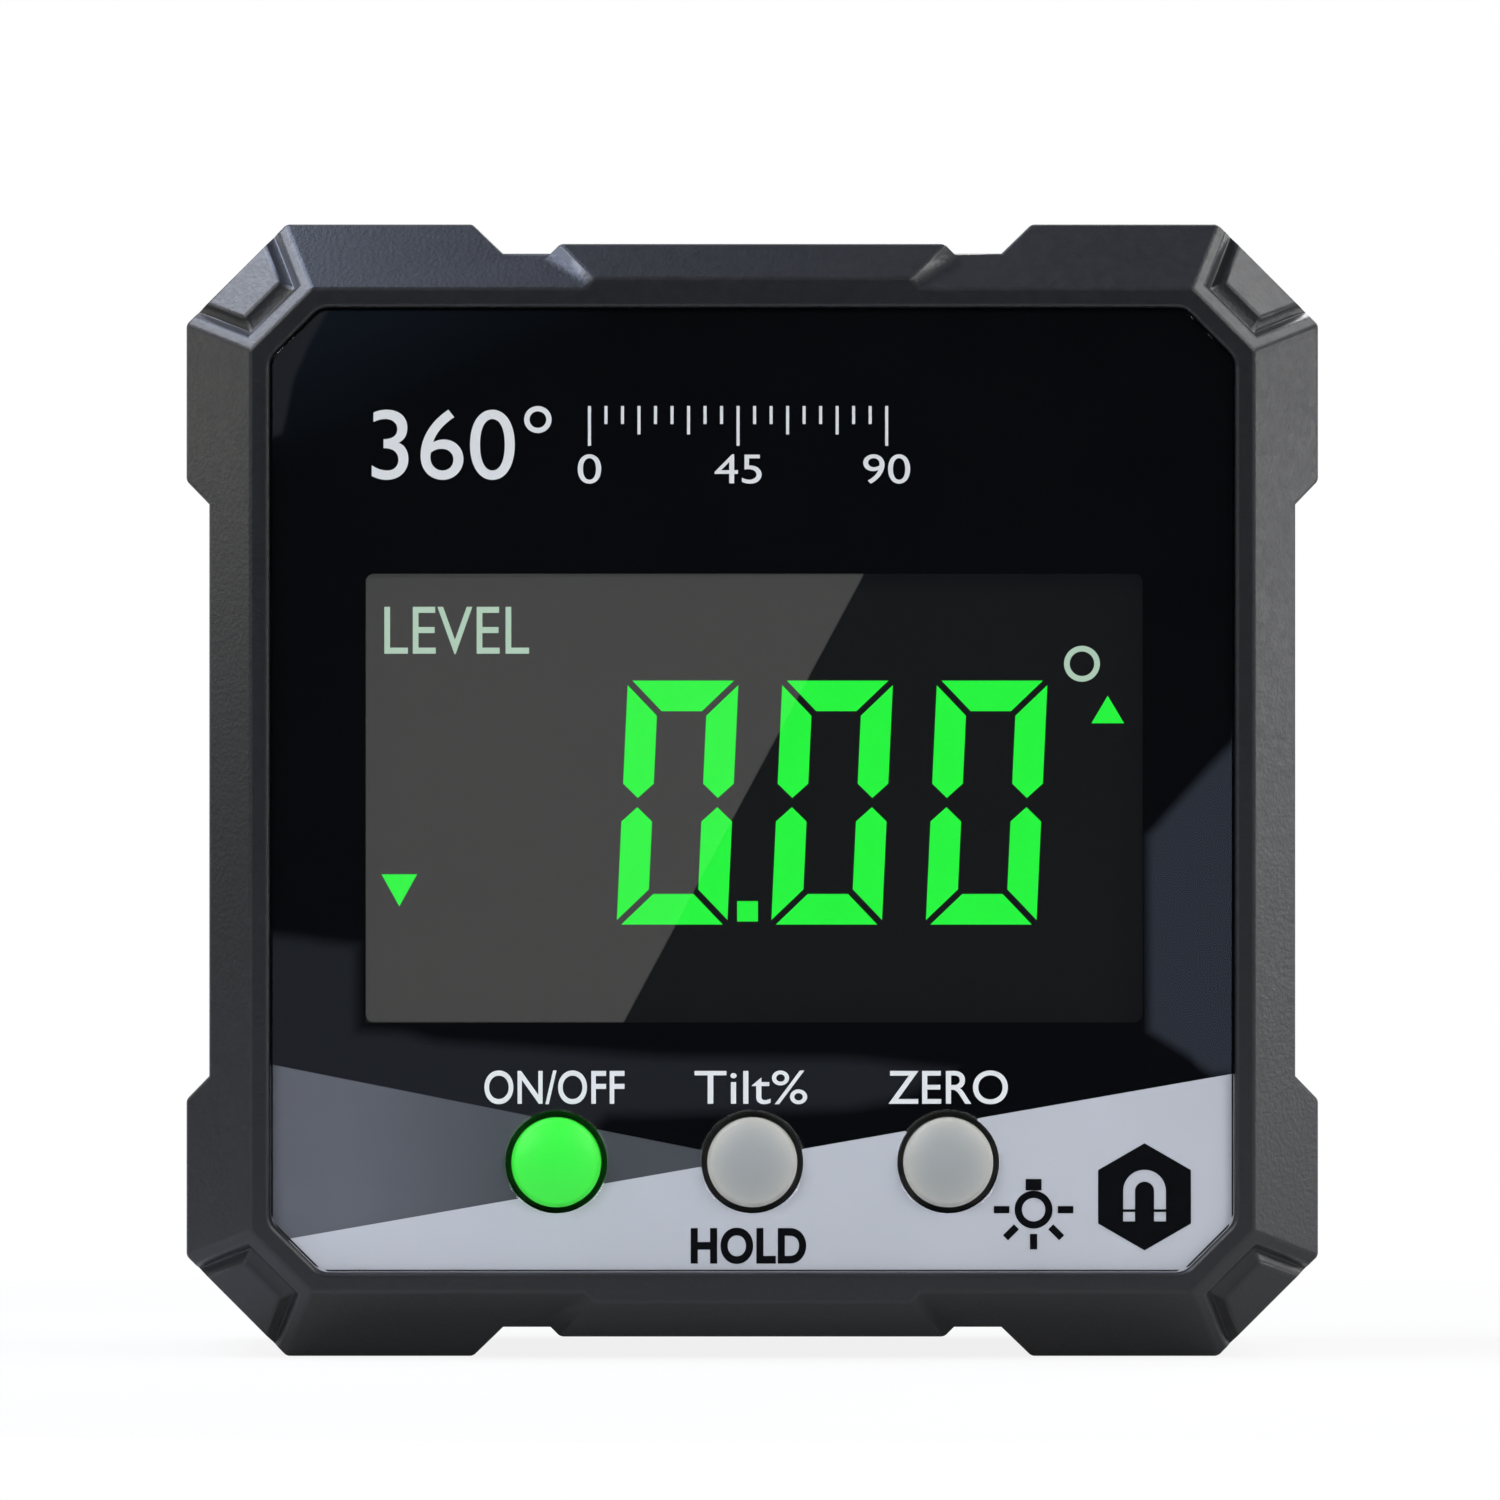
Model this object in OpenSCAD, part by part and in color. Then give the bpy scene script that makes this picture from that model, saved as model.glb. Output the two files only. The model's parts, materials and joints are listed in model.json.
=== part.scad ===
// Digital angle gauge: a square case that can be set down on any of its four sides.
// The front half carries a printed clear panel, a display and three keys. The rear half carries
// two cells behind a sliding door, and the feet of the base hold two magnets.
// Each piece is drawn face on: x to the right, y up from the middle of the case, and depth
// counted backwards from the rim round the panel. upright() then stands it on its base.

/* [Case] */
// Width and height of the square case, over the feet
case_side = 60; // [54:0.5:70]
// Depth of the case, from the rim to the back
case_depth = 30; // [28:0.5:36]
// Depth of the front half, from the rim to the parting line
front_depth = 12; // [11:0.5:13]
// Leg of the cut across each corner
corner_cut = 5.3; // [4.5:0.1:6]
// Width of the front bevel, seen face on
bevel_w = 3.5; // [3:0.1:3.8]
// Depth of the front bevel
bevel_d = 3.5; // [3:0.1:4]
// Size of the bevel round the back
back_bevel = 2; // [1.8:0.1:2.4]
// Width of the flat rim round the panel
rim_w = 1; // [0.7:0.1:1.3]
// Thickness of the side walls where the case is cut in deepest
wall = 2.35; // [2.2:0.05:2.6]
// Thickness of the wall behind the panel
front_wall = 1.6; // [1.2:0.1:1.8]
// Thickness of the back wall
back_wall = 2; // [1.6:0.1:2.4]

/* [Feet] */
// Length of a foot on the base and the top
foot_len = 9.9; // [9.2:0.1:10.8]
// Depth of the notch beside a foot on the base and the top
notch_depth = 1.6; // [1.4:0.05:1.9]
// Length of a foot on the left and right sides
side_foot_len = 8.3; // [7:0.1:8.6]
// How far the left and right sides are cut in between their feet
side_recess = 1.25; // [0.8:0.05:1.6]
// Width of the notch between a foot and the raised bridge
notch_w = 4.65; // [4:0.05:6]
// How far the bridge lies below the feet
bridge_recess = 1.1; // [0.8:0.05:1.3]
// How far the bridge stands out of the front bevel
bridge_raise = 0.55; // [0.4:0.05:0.8]
// Depth of the bevel along the front of the bridge
bridge_bevel_d = 1.5; // [1.2:0.1:1.6]

/* [Corner grooves] */
// Width of the land between the edges of a corner's bevel and the groove in it
groove_land = 0.6; // [0.3:0.05:0.8]
// Width of the groove that frames each corner pad
groove_w = 0.95; // [0.7:0.05:1.1]
// Depth of that groove
groove_d = 0.55; // [0.3:0.05:0.6]

/* [Panel and display] */
// Thickness of the clear panel
panel_t = 1.3; // [1:0.1:1.6]
// How far the panel lies below the rim
panel_recess = 0.25; // [0.1:0.05:0.5]
// Radius at the corners of the panel
panel_round = 1.1; // [0.5:0.1:1.5]
// Space between the display glass and the inside of the case, left and right
lcd_side_gap = 3.55; // [3:0.05:5]
// Space between the display glass and the inside of the case, above
lcd_head_gap = 11.35; // [11:0.05:13]
// Space between the display glass and the key holes below it
lcd_key_gap = 3.15; // [2.5:0.05:4]
// Height of the contact ledge along the top of the glass
lcd_ledge = 2.4; // [2.2:0.1:3]
// Thickness of each of the two display glasses
lcd_glass_t = 0.95; // [0.85:0.05:1.1]
// Thickness of the light guide behind the display
guide_t = 2.5; // [2.3:0.1:3]

/* [Keys] */
// Diameter of a key
key_dia = 4.75; // [4:0.05:5]
// Distance between neighbouring keys
key_pitch = 10.35; // [9:0.05:11]
// Height of the row of keys above the base
key_row = 10.35; // [9.8:0.05:10.8]
// How far the crown of a key stands in front of the rim
key_proud = 0.5; // [0.3:0.05:0.8]
// Height of the dome on a key
key_dome = 0.55; // [0.3:0.05:0.7]
// Travel of a key
key_travel = 0.4; // [0.2:0.05:0.5]
// Ring gap between a key and its hole
key_gap = 0.32; // [0.2:0.02:0.4]

/* [Board and fixings] */
// Thickness of the circuit board
board_t = 1.6; // [1:0.1:1.8]
// Distance of the board screws from the inside of the case
board_screw_inset = 6.55; // [6.3:0.05:7]
// Diameter of a board screw
board_screw_dia = 1.8; // [1.6:0.1:2]
// Distance of the case screws from the sides of the case
case_screw_inset = 6; // [5.6:0.1:6.2]
// Diameter of a case screw
case_screw_dia = 2.2; // [2:0.1:2.6]

/* [Power] */
// Diameter of a cell
cell_dia = 10.5; // [10:0.1:10.6]
// Space between the ends of the battery compartment and the inside of the case
tub_end_gap = 1.75; // [1.5:0.05:2.5]
// Space left at the plain end of a cell for its spring
spring_len = 3.2; // [2.8:0.1:3.4]
// Thickness of the battery contacts
contact_t = 0.4; // [0.3:0.05:0.5]
// Thickness of the door over the cells
door_t = 2; // [1.8:0.1:2.2]

/* [Magnets] */
// Diameter of a base magnet
magnet_dia = 8; // [5:0.5:8.5]
// Thickness of a base magnet
magnet_t = 2.8; // [2:0.1:3]
// How far a magnet lies inside its foot
magnet_inset = 0.1; // [0.05:0.05:0.3]

/* [Hidden] */
$fn = 64;
// Clearances: a close fit, a sliding fit and a loose fit of one piece in another
fit = 0.05;
slide = 0.15;
loose = 0.3;
// Overshoot of a cut past the face that it opens
over = 1;

half = case_side / 2;
front_y = (key_proud - case_depth) / 2;
cavity_half = half - notch_depth - wall;

// Depths of the layers behind the rim
pocket_d = panel_recess + panel_t;
cavity_d = pocket_d + front_wall;
lcd_d = pocket_d + fit;
lcd_back_d = lcd_d + 2 * lcd_glass_t;
board_d = lcd_back_d + guide_t;
board_back_d = board_d + board_t;

// Rounds are drawn in this many steps to each eighth of a turn
round_steps = 4;

// Bevel: its slope, and the root of a bridge that stands out of it
bevel_angle = atan2(bevel_d, bevel_w);
bevel_len = norm([bevel_w, bevel_d]);
bridge_root = 0.3;
bridge_len = 2 * (half - corner_cut - foot_len - notch_w);
groove_floor = 0.1;

// Keys, their switches and the plungers between them
key_r = key_dia / 2;
key_hole_r = key_r + key_gap;
key_y = key_row - half;
dome_r = (key_r * key_r + key_dome * key_dome) / (2 * key_dome);
flange_lip = 0.6;
flange_r = key_hole_r + flange_lip;
flange_d = cavity_d + fit;
flange_t = 0.6;
switch_h = 1.4;
switch_side = 5.2;
switch_d = board_d - switch_h;
plunger_d = switch_d - key_travel;
plunger_r = 1.2;
plunger_in = 0.5;

// Display: its glass fills the width, between the heading above and the keys below.
// The rear glass is shorter by the contact ledge
lcd_w = 2 * (cavity_half - lcd_side_gap);
lcd_top = cavity_half - lcd_head_gap;
lcd_low = key_y + key_hole_r + lcd_key_gap;
rear_glass_top = lcd_top - lcd_ledge;
guide_edge = 0.5;
zebra_edge = 2;
led_size = [0.9, 3.2, 1.2];

// Screws, and the columns and bosses that take them
board_screw_xy = cavity_half - board_screw_inset;
board_screw_r = board_screw_dia / 2;
boss_wall = 1.5;
boss_r = board_screw_r + boss_wall;
board_head_r = 2 * board_screw_r;
board_head_t = 1.2;
board_gap = 0.5;
screw_xy = half - case_screw_inset;
case_screw_r = case_screw_dia / 2;
case_head_r = 1.9 * case_screw_r;
case_head_t = 1.6;
column_h = 4;
case_head_d = front_depth + column_h;
screw_bite = 6;
case_screw_d = front_depth - screw_bite;
column_wall = 2.4;
corner_wall = case_screw_r + column_wall;
cavity_leg = 2 * (cavity_half - screw_xy) + sqrt(2) * corner_wall;
drive_across = 1.5;
drive_depth = 0.7;

// Seal in the parting line, in the middle of the wall
seal_w = 1;
seal_t = 1;
seal_gap = (wall - seal_w) / 2;

// Chips on the back of the board: middle and size
chip_at = [-8, 3];
chip_size = [10, 10, 1.6];
sensor_at = [9, 0];
sensor_size = [4, 4, 1.2];

// Cells, their compartment and its door
cell_r = cell_dia / 2;
cell_y = cell_r + loose;
button_len = 0.8;
button_r = 1.9;
cell_edge = 0.5;
tub_wall = 1.2;
tub_half_x = cavity_half - tub_end_gap;
cell_len = 2 * (tub_half_x - contact_t - fit) - spring_len;
tub_half_y = cell_y + cell_r + loose;
tub_back_d = case_depth - door_t - slide;
tub_floor_d = tub_back_d - cell_dia - loose;
cell_d = tub_back_d - cell_r;
door_plate_t = 0.6 * door_t;
tongue_t = door_t - door_plate_t;
tongue_w = 1;
door_lap = 1.6;
door_half_y = tub_half_y + door_lap;
door_end_lap = 0.9;
door_end_x = tub_half_x + door_end_lap;
rail_t = 1.4;
rail_wall = 1.5;
rail_half_y = door_half_y + tongue_w + rail_wall;
grip_ribs = 6;
grip_pitch = 1.8;
grip_r = 0.5;
grip_len = 14;
grip_edge = 5;
grip_x = grip_edge - tub_half_x;

// Battery contacts
plate_side = 9;
leg_w = 2.2;
leg_gap = 0.1;
wire_r = 0.3;
spring_base_r = 3.2;
spring_tip_r = 2.2;
spring_turns = 2.5;
spring_steps = 30;
wire_sides = 6;

// Magnets sit in the middle of the feet on the base
magnet_r = magnet_dia / 2;
magnet_x = half - corner_cut - foot_len / 2;
magnet_d = (front_depth + case_depth) / 2;

// A square with its corners cut off by the given leg, counter-clockwise
function octagon(h, leg) = [
    [h, leg - h], [h, h - leg], [h - leg, h], [leg - h, h],
    [-h, h - leg], [-h, leg - h], [leg - h, -h], [h - leg, -h]];

// The leg of an octagon's corner cut once every side has moved in by t
function inset_leg(leg, t) = leg - t * (2 - sqrt(2));

// The outline of the case over its feet, and that of its cavity, moved in by t
function case_octagon(t) = octagon(half - t, inset_leg(corner_cut, t));
function cavity_octagon(t) = octagon(cavity_half - t, inset_leg(cavity_leg, t));

// The outline of the panel's seat, moved in by t, with its corners rounded
function panel_outline(t) = [for (i = [0:7]) let (
        a = 45 * (i - 1),
        turn = [cos(a), sin(a)] + [cos(a + 45), sin(a + 45)],
        middle = case_octagon(bevel_w + rim_w + t)[i] - panel_round * turn / (1 + cos(45)))
    for (k = [0:round_steps])
        middle + panel_round * [cos(a + 45 * k / round_steps), sin(a + 45 * k / round_steps)]];

// A strip across the top of the case, whose ends flare at 45 degrees towards its root
function strip(half_len, top, root) = let (root_len = half_len + top - root)
    [[-root_len, root], [root_len, root], [half_len, top], [-half_len, top]];

// The edge of a corner pad that lies t inside the corner's bevel, drawn on the bevel's own plane:
// x runs downhill from the outer edge of the bevel, and the pad is open on that side
function pad_edge(t) = let (
        low_y = corner_cut / sqrt(2),
        high_y = inset_leg(corner_cut, bevel_w) / sqrt(2),
        taper = (low_y - high_y) / bevel_len,
        side = t * norm([1, taper]),
        top_x = bevel_len * (t / bevel_w - 1),
        run_y = low_y + taper * over - side,
        top_y = low_y + taper * top_x - side)
    [[over, -run_y], [over, run_y], [top_x, top_y], [top_x, -top_y]];

// A ring of points round the wire of a coil spring, at step k
function wire_ring(k) = let (
        turn = 360 * spring_turns * k / spring_steps,
        r = spring_base_r + (spring_tip_r - spring_base_r) * k / spring_steps,
        rise = wire_r / 2 + (spring_len - 1.5 * wire_r) * k / spring_steps)
    [for (i = [0:wire_sides - 1]) let (
        a = 360 * i / wire_sides,
        out = r + wire_r * cos(a))
        [out * cos(turn), out * sin(turn), rise + wire_r * sin(a)]];

// Stands a piece that was drawn face on upright on its base
module upright() translate([0, front_y, half]) rotate([90, 0, 0]) children();

// Extrudes a face-on profile from depth d backwards by t
module layer(d, t) translate([0, 0, -d - t]) linear_extrude(t) children();

// A round pin or hole along the depth
module rod(r, d, t) layer(d, t) circle(r);

// A rectangle from one corner to the other
module box(low, high) translate(low) square(high - low);

// A solid through rings of equal point count
module skin(rings) {
    n = len(rings[0]);
    last = len(rings) - 1;
    polyhedron(
        points = [for (ring = rings) for (p = ring) p],
        faces = concat(
            [[for (i = [n - 1:-1:0]) i], [for (i = [0:n - 1]) last * n + i]],
            [for (k = [0:last - 1]) for (i = [0:n - 1]) let (j = (i + 1) % n)
                [k * n + i, k * n + j, k * n + n + j, k * n + n + i]]));
}

// A convex solid through face-on profiles at increasing depths
module loft(profiles, depths)
    skin([for (k = [0:len(profiles) - 1]) [for (p = profiles[k]) [p.x, p.y, -depths[k]]]]);

// Copies of a piece at the corners of a square, and at the three keys
module at_corners(xy) for (x = [-xy, xy]) for (y = [-xy, xy]) translate([x, y, 0]) children();
module at_key(k) translate([k * key_pitch, key_y, 0]) children();
module at_keys() for (k = [-1:1]) at_key(k) children();

// The cut between two feet along the top of the case, with ends at 45 degrees
module foot_gap(half_len, depth) polygon([
    [-half_len - over, half + over], [depth - half_len, half - depth],
    [half_len - depth, half - depth], [half_len + over, half + over]]);

// Outline of the case: feet at the corners, cut in between them on all four sides
module case_outline() difference() {
    polygon(case_octagon(0));
    for (turn = [0, 180]) rotate(turn) {
        foot_gap(half - corner_cut - foot_len, notch_depth);
        rotate(90) foot_gap(half - corner_cut - side_foot_len, side_recess);
    }
}

// The raised bridge between the two notches of one side, with a front bevel of its own
module bridge() {
    top = half - bridge_recess;
    front_top = half - bevel_w + bridge_raise;
    root = half - bevel_w - bridge_root;
    short = strip(bridge_len / 2 - top + front_top, front_top, root);
    long = strip(bridge_len / 2, top, root);
    loft([short, long, long], [0, bridge_bevel_d, case_depth + over]);
}

// The whole case as a solid block: bevelled in front and behind
module case_block() intersection() {
    union() {
        intersection() {
            layer(-over, case_depth + 2 * over) case_outline();
            loft([case_octagon(bevel_w), case_octagon(-over), case_octagon(-over)],
                [0, bevel_d * (1 + over / bevel_w), case_depth + 2 * over]);
        }
        for (turn = [0, 180]) rotate(turn) bridge();
    }
    loft([case_octagon(-over), case_octagon(-over), case_octagon(back_bevel)],
        [-over, case_depth - back_bevel - over, case_depth]);
}

// The V groove round three sides of a corner pad, on the plane of the corner's bevel
module pad_groove() {
    middle = groove_w / 2;
    slope = (middle - groove_floor / 2) / groove_d;
    difference() {
        loft([pad_edge(groove_land - slope * over), pad_edge(groove_land + slope * groove_d)],
            [-over, groove_d]);
        loft([for (d = [-over - fit, groove_d + fit]) pad_edge(groove_land + groove_w - slope * d)],
            [-over - fit, groove_d + fit]);
    }
}

// The part of the case between two depths
module case_part(from, to) intersection() {
    case_block();
    layer(from, to - from) square(2 * case_side, center = true);
}

// The moulded front half: bezel, feet, panel seat, display opening, key holes and screw bosses
module front_case() color("#3b3d42") upright() difference() {
    union() {
        difference() {
            case_part(-over, front_depth);
            layer(-over, pocket_d + over) polygon(panel_outline(0));
            layer(cavity_d, front_depth) polygon(cavity_octagon(0));
            layer(pocket_d - over, front_wall + 2 * over)
                box([-lcd_w / 2 - loose, lcd_low - loose], [lcd_w / 2 + loose, lcd_top + loose]);
            for (turn = [0:90:270])
                rotate(turn)
                    translate([half - corner_cut / 2, half - corner_cut / 2, -bevel_d])
                        rotate([0, 0, 45]) rotate([0, bevel_angle, 0]) pad_groove();
        }
        at_corners(board_screw_xy) rod(boss_r, cavity_d, board_d - cavity_d);
    }
    at_keys() rod(key_hole_r, 0, board_d);
    at_corners(board_screw_xy) rod(board_screw_r + fit, cavity_d - fit, board_d);
    at_corners(screw_xy) rod(case_screw_r + fit, case_screw_d - fit, front_depth);
}

// The rear half: walls, screw columns, battery compartment, door rails and magnet pockets
module rear_case() color("#35373b") upright() difference() {
    union() {
        difference() {
            case_part(front_depth, case_depth + over);
            layer(front_depth - over, case_depth - back_wall - front_depth + over)
                polygon(cavity_octagon(0));
        }
        layer(tub_floor_d - tub_wall, case_depth - back_wall - tub_floor_d + tub_wall)
            square(2 * [cavity_half + fit, tub_half_y + tub_wall], center = true);
        layer(tub_back_d - rail_t, rail_t)
            square(2 * [cavity_half + fit, rail_half_y], center = true);
    }
    layer(tub_floor_d, case_depth) square(2 * [tub_half_x, tub_half_y], center = true);
    door_run(door_plate_t, door_half_y, over);
    door_run(door_t, door_half_y + tongue_w, slide - door_plate_t);
    for (y = [-cell_y, cell_y])
        layer(tub_floor_d - tub_wall - over, tub_wall + 2 * over)
            translate([contact_t / 2 - tub_half_x, y])
                square([contact_t, leg_w] + 2 * leg_gap * [1, 1], center = true);
    layer(front_depth - over, seal_t + over) seal_ring();
    at_corners(screw_xy) {
        rod(case_screw_r + slide, front_depth - over, case_depth);
        rod(case_head_r + slide, case_head_d, case_depth);
    }
    at_magnets() translate([0, 0, -over]) cylinder(r = magnet_r + fit, h = magnet_t + magnet_inset + over);
}

// The space that the door slides in, from its inner face at depth case_depth - t up to the back,
// or beyond it by the given amount
module door_run(t, half_y, beyond) layer(case_depth - t - slide, t + slide + beyond)
    box([-door_end_x - slide, -half_y - slide], [half + over, half_y + slide]);

// Outline of the seal and of its groove
module seal_ring() difference() {
    polygon(cavity_octagon(-seal_gap - seal_w));
    polygon(cavity_octagon(-seal_gap));
}

// Copies of a piece at the two magnets, with z pointing up into the foot
module at_magnets() for (x = [-magnet_x, magnet_x])
    translate([x, -half, -magnet_d]) rotate([-90, 0, 0]) children();

// The rubber ring in the parting line
module case_seal() color("#1c1c1e") upright() layer(front_depth, seal_t - fit) seal_ring();

// The clear panel, with a hole for each key
module front_panel() color("#0b0d11") upright() difference() {
    layer(panel_recess, panel_t) polygon(panel_outline(fit));
    at_keys() rod(key_hole_r, 0, pocket_d + over);
}

// The display: a front glass with a contact ledge, and a shorter rear glass
module lcd_cell() color("#2a2c2c") upright() {
    layer(lcd_d, lcd_glass_t) box([-lcd_w / 2, lcd_low], [lcd_w / 2, lcd_top]);
    layer(lcd_d + lcd_glass_t, lcd_glass_t) box([-lcd_w / 2, lcd_low], [lcd_w / 2, rear_glass_top]);
}

// The light guide between the display and the board
module backlight_guide() color("#e8ece8") upright() layer(lcd_back_d, guide_t)
    box([guide_edge - lcd_w / 2, lcd_low + guide_edge], [lcd_w / 2 - guide_edge, rear_glass_top]);

// A lamp at each end of the light guide
module backlight_leds() color("#d9f2d9") upright() for (side = [-1, 1])
    layer(board_d - led_size.z, led_size.z)
        translate([side * (lcd_w / 2 - guide_edge + fit + led_size.x / 2), 0])
            square([led_size.x, led_size.y], center = true);

// The rubber connector between the ledge of the display and the board
module zebra_strip() color("#7d7f80") upright()
    layer(lcd_d + lcd_glass_t, board_d - lcd_d - lcd_glass_t)
        box([zebra_edge - lcd_w / 2, rear_glass_top + loose], [lcd_w / 2 - zebra_edge, lcd_top - loose]);

// The circuit board, screwed to the bosses of the front half
module circuit_board() color("#1f5c3a") upright() difference() {
    layer(board_d, board_t) polygon(cavity_octagon(board_gap));
    at_corners(board_screw_xy) rod(board_screw_r + slide, board_d - over, board_t + 2 * over);
}

// A chip on the back of the board
module chip(at, size) layer(board_back_d, size.z) translate(at) square([size.x, size.y], center = true);
module controller_chip() color("#202124") upright() chip(chip_at, chip_size);
module angle_sensor() color("#3c3f44") upright() chip(sensor_at, sensor_size);

// A domed key with a flange that stops it behind the wall and a stem for its plunger
module key(k) upright() at_key(k) rotate_extrude() {
    intersection() {
        box([0, -flange_d - flange_t], [key_r, key_proud]);
        translate([0, key_proud - dome_r]) circle(dome_r);
    }
    box([0, -flange_d - flange_t], [flange_r, -flange_d]);
    box([0, -plunger_d], [plunger_r, -flange_d]);
}
module on_off_key() color("#45f957") key(-1);
module hold_key() color("#a4a6a6") key(0);
module zero_key() color("#a4a6a6") key(1);

// A push switch on the board, and the plunger that a key pushes into it
module switch(k) color("#2b2c2e") upright() at_key(k) difference() {
    layer(switch_d, switch_h) square(switch_side, center = true);
    rod(plunger_r + fit, switch_d - over, over + plunger_in + key_travel + fit);
}
module plunger(k) color("#d8d8d2") upright() at_key(k)
    rod(plunger_r, plunger_d, key_travel + plunger_in);

// The sliding door over the cells: a flush plate, a tongue for the rails and a ribbed thumb grip
module battery_door() color("#37393d") upright() difference() {
    intersection() {
        case_block();
        union() {
            layer(case_depth - door_plate_t, door_plate_t + over)
                box([-door_end_x, -door_half_y], [half, door_half_y]);
            layer(case_depth - door_t, tongue_t)
                box([-door_end_x, -door_half_y - tongue_w], [half, door_half_y + tongue_w]);
        }
    }
    for (rib = [0:grip_ribs - 1])
        translate([grip_x + rib * grip_pitch, grip_len / 2, -case_depth])
            rotate([90, 0, 0]) cylinder(r = grip_r, h = grip_len);
}

// A battery contact: a plate against the left end of the compartment with a leg to the board
module contact(y) translate([-tub_half_x, y, 0]) {
    layer(cell_d - plate_side / 2, plate_side) box([0, -plate_side / 2], [contact_t, plate_side / 2]);
    layer(board_back_d, cell_d - board_back_d) box([0, -leg_w / 2], [contact_t, leg_w / 2]);
}

// The conical spring that presses on the plain end of a cell
module cell_spring() skin([for (k = [0:spring_steps]) wire_ring(k)]);

module positive_contact() color("#c9ccd0") upright() contact(cell_y);

module negative_contact() color("#c9ccd0") upright() {
    contact(-cell_y);
    translate([contact_t - tub_half_x, -cell_y, -cell_d]) rotate([0, 90, 0]) cell_spring();
}

// The plate and spring that join the two cells at the right end
module bridge_contact() color("#c9ccd0") upright() {
    layer(cell_d - plate_side / 2, plate_side)
        box([tub_half_x - contact_t, -cell_y - plate_side / 2], [tub_half_x, cell_y + plate_side / 2]);
    translate([tub_half_x - contact_t, cell_y, -cell_d]) rotate([0, -90, 0]) cell_spring();
}

// A cell with its contact button to the left
module cell() translate([contact_t + fit - tub_half_x, cell_y, -cell_d]) rotate([0, 90, 0])
    rotate_extrude() polygon([
        [0, 0], [button_r, 0], [button_r, button_len], [cell_r - cell_edge, button_len],
        [cell_r, button_len + cell_edge], [cell_r, cell_len - cell_edge],
        [cell_r - cell_edge, cell_len], [0, cell_len]]);
module upper_cell() color("#3f4a52") upright() cell();
module lower_cell() color("#3f4a52") upright() rotate(180) cell();

// Magnet discs in the feet of the base
module base_magnets() color("#c4c7cb") upright() at_magnets()
    translate([0, 0, magnet_inset]) cylinder(r = magnet_r, h = magnet_t);

// A screw from behind, with a hexagon socket in its head
module screw(r, tip_d, head_r, head_d, head_t) {
    rod(r, tip_d, head_d - tip_d);
    difference() {
        rod(head_r, head_d, head_t);
        translate([0, 0, -head_d - head_t - over])
            cylinder(d = drive_across, h = drive_depth + over, $fn = 6);
    }
}
module case_screws() color("#9da1a6") upright() at_corners(screw_xy)
    screw(case_screw_r, case_screw_d, case_head_r, case_head_d, case_head_t);
module board_screws() color("#b4b7bb") upright() at_corners(board_screw_xy)
    screw(board_screw_r, cavity_d, board_head_r, board_back_d, board_head_t);

front_case();
rear_case();
case_seal();
front_panel();
lcd_cell();
backlight_guide();
backlight_leds();
zebra_strip();
circuit_board();
controller_chip();
angle_sensor();
on_off_key();
hold_key();
zero_key();
switch(-1);  // on_off_switch
switch(0);  // hold_switch
switch(1);  // zero_switch
plunger(-1);  // on_off_plunger
plunger(0);  // hold_plunger
plunger(1);  // zero_plunger
battery_door();
positive_contact();
negative_contact();
bridge_contact();
upper_cell();
lower_cell();
base_magnets();
case_screws();
board_screws();
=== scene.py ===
# %% [markdown]
# A digital angle gauge is a square plastic case that stands on any of its sides and shows how far
# it is tilted. A clear printed panel covers its front, with a lit display and three keys.
# The solids come from the CAD model. This lesson gives them rounded edges, print, a display that
# shows a reading, real finishes, studio light and a camera.

# %% Load the frame
import json
import math

import bmesh
import bpy
from mathutils import Matrix, Vector

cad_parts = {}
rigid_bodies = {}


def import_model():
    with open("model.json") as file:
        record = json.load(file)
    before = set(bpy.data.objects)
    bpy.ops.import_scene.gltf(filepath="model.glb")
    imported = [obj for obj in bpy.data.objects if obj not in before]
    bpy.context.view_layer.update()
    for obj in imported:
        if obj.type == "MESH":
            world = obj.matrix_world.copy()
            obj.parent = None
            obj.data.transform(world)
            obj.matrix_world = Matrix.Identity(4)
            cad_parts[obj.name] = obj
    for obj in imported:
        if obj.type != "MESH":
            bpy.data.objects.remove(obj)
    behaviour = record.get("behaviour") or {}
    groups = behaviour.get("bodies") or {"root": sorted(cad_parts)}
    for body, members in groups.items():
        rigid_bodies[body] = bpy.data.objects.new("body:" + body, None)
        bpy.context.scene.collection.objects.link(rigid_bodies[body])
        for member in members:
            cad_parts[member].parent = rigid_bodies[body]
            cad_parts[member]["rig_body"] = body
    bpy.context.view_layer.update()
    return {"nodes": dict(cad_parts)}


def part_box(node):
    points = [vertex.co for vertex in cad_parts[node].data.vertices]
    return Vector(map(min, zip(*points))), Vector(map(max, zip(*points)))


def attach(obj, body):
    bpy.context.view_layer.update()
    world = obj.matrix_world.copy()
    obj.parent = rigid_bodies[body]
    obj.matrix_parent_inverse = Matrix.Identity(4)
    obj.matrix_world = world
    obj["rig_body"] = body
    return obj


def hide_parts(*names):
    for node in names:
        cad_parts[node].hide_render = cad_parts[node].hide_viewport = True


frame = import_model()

MM = 0.001
nodes = frame["nodes"]

# %% [markdown]
# Everything on the front is placed by three numbers in millimetres: x to the right, z above the
# base, and the depth behind the rim of the case. The rim is the foremost face of the front half,
# so it is read from the frame, and the middle of the case is half its height.

# %% Places on the front
rim_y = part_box("front_case")[0].y / MM
middle_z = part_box("front_case")[1].z / MM / 2
back_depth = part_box("rear_case")[1].y / MM - rim_y
panel_low, panel_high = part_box("front_panel")
panel_front = panel_low.y / MM - rim_y
panel_back = panel_high.y / MM - rim_y
panel_half = panel_high.x / MM
display_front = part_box("lcd_cell")[0].y / MM - rim_y
print("depths in mm: panel", round(panel_front, 2), "to", round(panel_back, 2),
      "display", round(display_front, 2), "back", round(back_depth, 2))

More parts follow.
